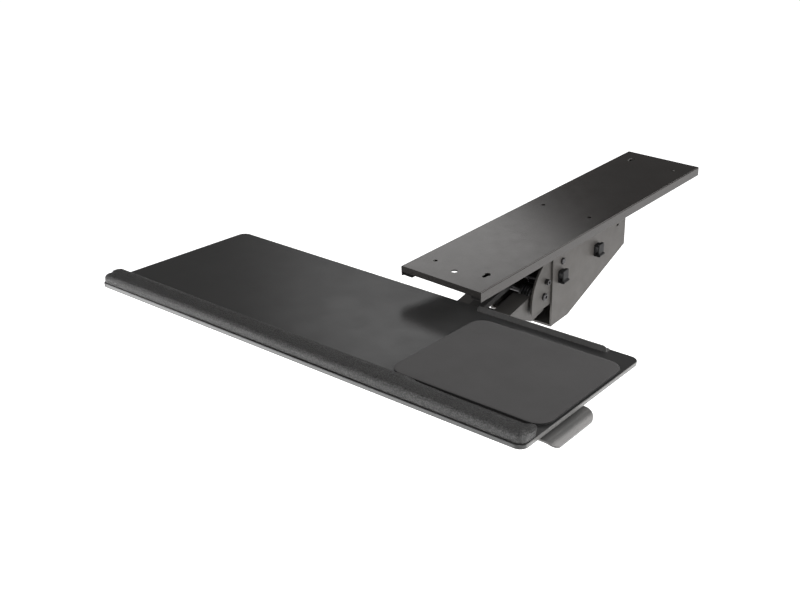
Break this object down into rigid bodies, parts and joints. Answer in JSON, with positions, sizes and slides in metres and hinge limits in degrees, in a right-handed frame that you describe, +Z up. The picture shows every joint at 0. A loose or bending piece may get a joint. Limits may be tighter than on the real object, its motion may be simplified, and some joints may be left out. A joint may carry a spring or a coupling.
{
  "type": "keyboard tray under desk",
  "caption": "Keyboard tray on a lifting, tilting and swivelling arm that slides on a track under a desk, with wrist rest and mouse pad",
  "frame": {"origin": "middle of the front end of the track's top face, where it meets the underside of the desk", "axes": "+Z up, +X to the sitter's right, +Y back under the desk along the track"},
  "size_m": [0.6989, 0.8336, 0.129],
  "materials": {
    "track": "satin black powder coat",
    "rail": "satin black",
    "stop": "matte",
    "carriage": "satin black",
    "nylon": "matte natural nylon",
    "zinc": "zinc plated",
    "housing": "satin dark grey powder coat",
    "cheek": "satin dark grey powder coat",
    "bolt": "black oxide",
    "clip": "black moulded plastic",
    "arm": "satin black powder coat",
    "spring": "oiled spring steel",
    "link": "satin black",
    "board": "satin black phenolic panel",
    "rest": "pebbled black skin over foam",
    "pad": "fine matte cloth face on rubber",
    "guard": "satin black",
    "conduit": "black sleeve",
    "paddle": "satin black powder coat"
  },
  "bodies": {
    "track": {"track_plate": "track", "left_rail": "rail", "right_rail": "rail", "front_left_stop": "stop", "front_right_stop": "stop", "rear_left_stop": "stop", "rear_right_stop": "stop"},
    "carriage": {"carriage_plate": "carriage", "front_left_glide": "nylon", "front_right_glide": "nylon", "rear_left_glide": "nylon", "rear_right_glide": "nylon", "swivel_ring": "nylon", "swivel_bolt": "zinc", "swivel_washer": "zinc", "swivel_nut": "zinc"},
    "housing": {"swivel_plate": "housing", "housing": "housing", "left_cheek": "cheek", "right_cheek": "cheek", "arm_shaft": "bolt", "arm_shaft_nut": "bolt", "link_shaft": "bolt", "link_shaft_nut": "bolt", "link_clips": "zinc", "fin_screws": "bolt", "front_clip_base": "clip", "rear_clip_base": "clip"},
    "front_latch": {"front_clip_latch": "clip"},
    "rear_latch": {"rear_clip_latch": "clip"},
    "arm": {"lift_arm": "arm", "left_arm_bush": "nylon", "right_arm_bush": "nylon", "left_spring_sleeve": "nylon", "right_spring_sleeve": "nylon", "left_lift_spring": "spring", "right_lift_spring": "spring"},
    "link": {"level_link": "link"},
    "head": {"head_bracket": "arm", "head_shaft": "bolt", "head_shaft_nut": "bolt", "head_link_pin": "zinc", "left_tilt_bolt": "bolt", "right_tilt_bolt": "bolt"},
    "tray": {"tray_bracket": "arm", "bracket_screws": "zinc", "tray_board": "board", "wrist_rest": "rest", "mouse_pad": "pad", "mouse_guard": "guard", "paddle_base": "arm", "paddle_pin": "zinc", "release_conduit": "conduit"},
    "paddle": {"release_paddle": "paddle"}
  },
  "joints": [
    {"name": "carriage_slide", "type": "slide", "parent": "track", "child": "carriage", "axis": [0, 1, 0], "range_m": [-0.15, 0.06]},
    {"name": "housing_swivel", "type": "hinge", "parent": "carriage", "child": "housing", "pos_m": [0, 0.24, -0.015], "axis": [0, 0, 1], "range_deg": [-90, 90]},
    {"name": "arm_lift", "type": "hinge", "parent": "housing", "child": "arm", "pos_m": [0.00363, 0.16008, -0.074], "axis": [0.999, 0.0454, 0], "range_deg": [-2.25, 33.25], "deforming": ["left_lift_spring", "right_lift_spring"]},
    {"name": "link_swing", "type": "hinge", "parent": "housing", "child": "link", "pos_m": [0.00345, 0.16408, -0.052], "axis": [0.999, 0.0454, 0], "range_deg": [-2.25, 33.25]},
    {"name": "head_level", "type": "hinge", "parent": "arm", "child": "head", "pos_m": [0.01035, 0.01198, -0.09682], "axis": [0.999, 0.0454, 0], "range_deg": [-33.25, 2.25]},
    {"name": "tray_tilt", "type": "hinge", "parent": "head", "child": "tray", "pos_m": [0.01063, 0.00599, -0.06002], "axis": [0.999, 0.0454, 0], "range_deg": [-8, 14]},
    {"name": "paddle_rock", "type": "hinge", "parent": "tray", "child": "paddle", "pos_m": [0.24468, -0.13094, -0.04363], "axis": [0.0452, -0.9964, 0.0724], "range_deg": [0, 7], "stiffness_Nm_per_rad": 0.5, "springref_deg": -11.46},
    {"name": "front_latch_turn", "type": "hinge", "parent": "housing", "child": "front_latch", "pos_m": [0.06382, 0.20136, -0.0617], "axis": [-0.0454, 0.999, 0], "range_deg": [0, 80]},
    {"name": "rear_latch_turn", "type": "hinge", "parent": "housing", "child": "rear_latch", "pos_m": [0.05919, 0.30325, -0.0581], "axis": [-0.0454, 0.999, 0], "range_deg": [0, 80]}
  ],
  "couplings": [
    {"joint": "link_swing", "follows": "arm_lift", "ratio": 1},
    {"joint": "head_level", "follows": "arm_lift", "ratio": -1}
  ]
}
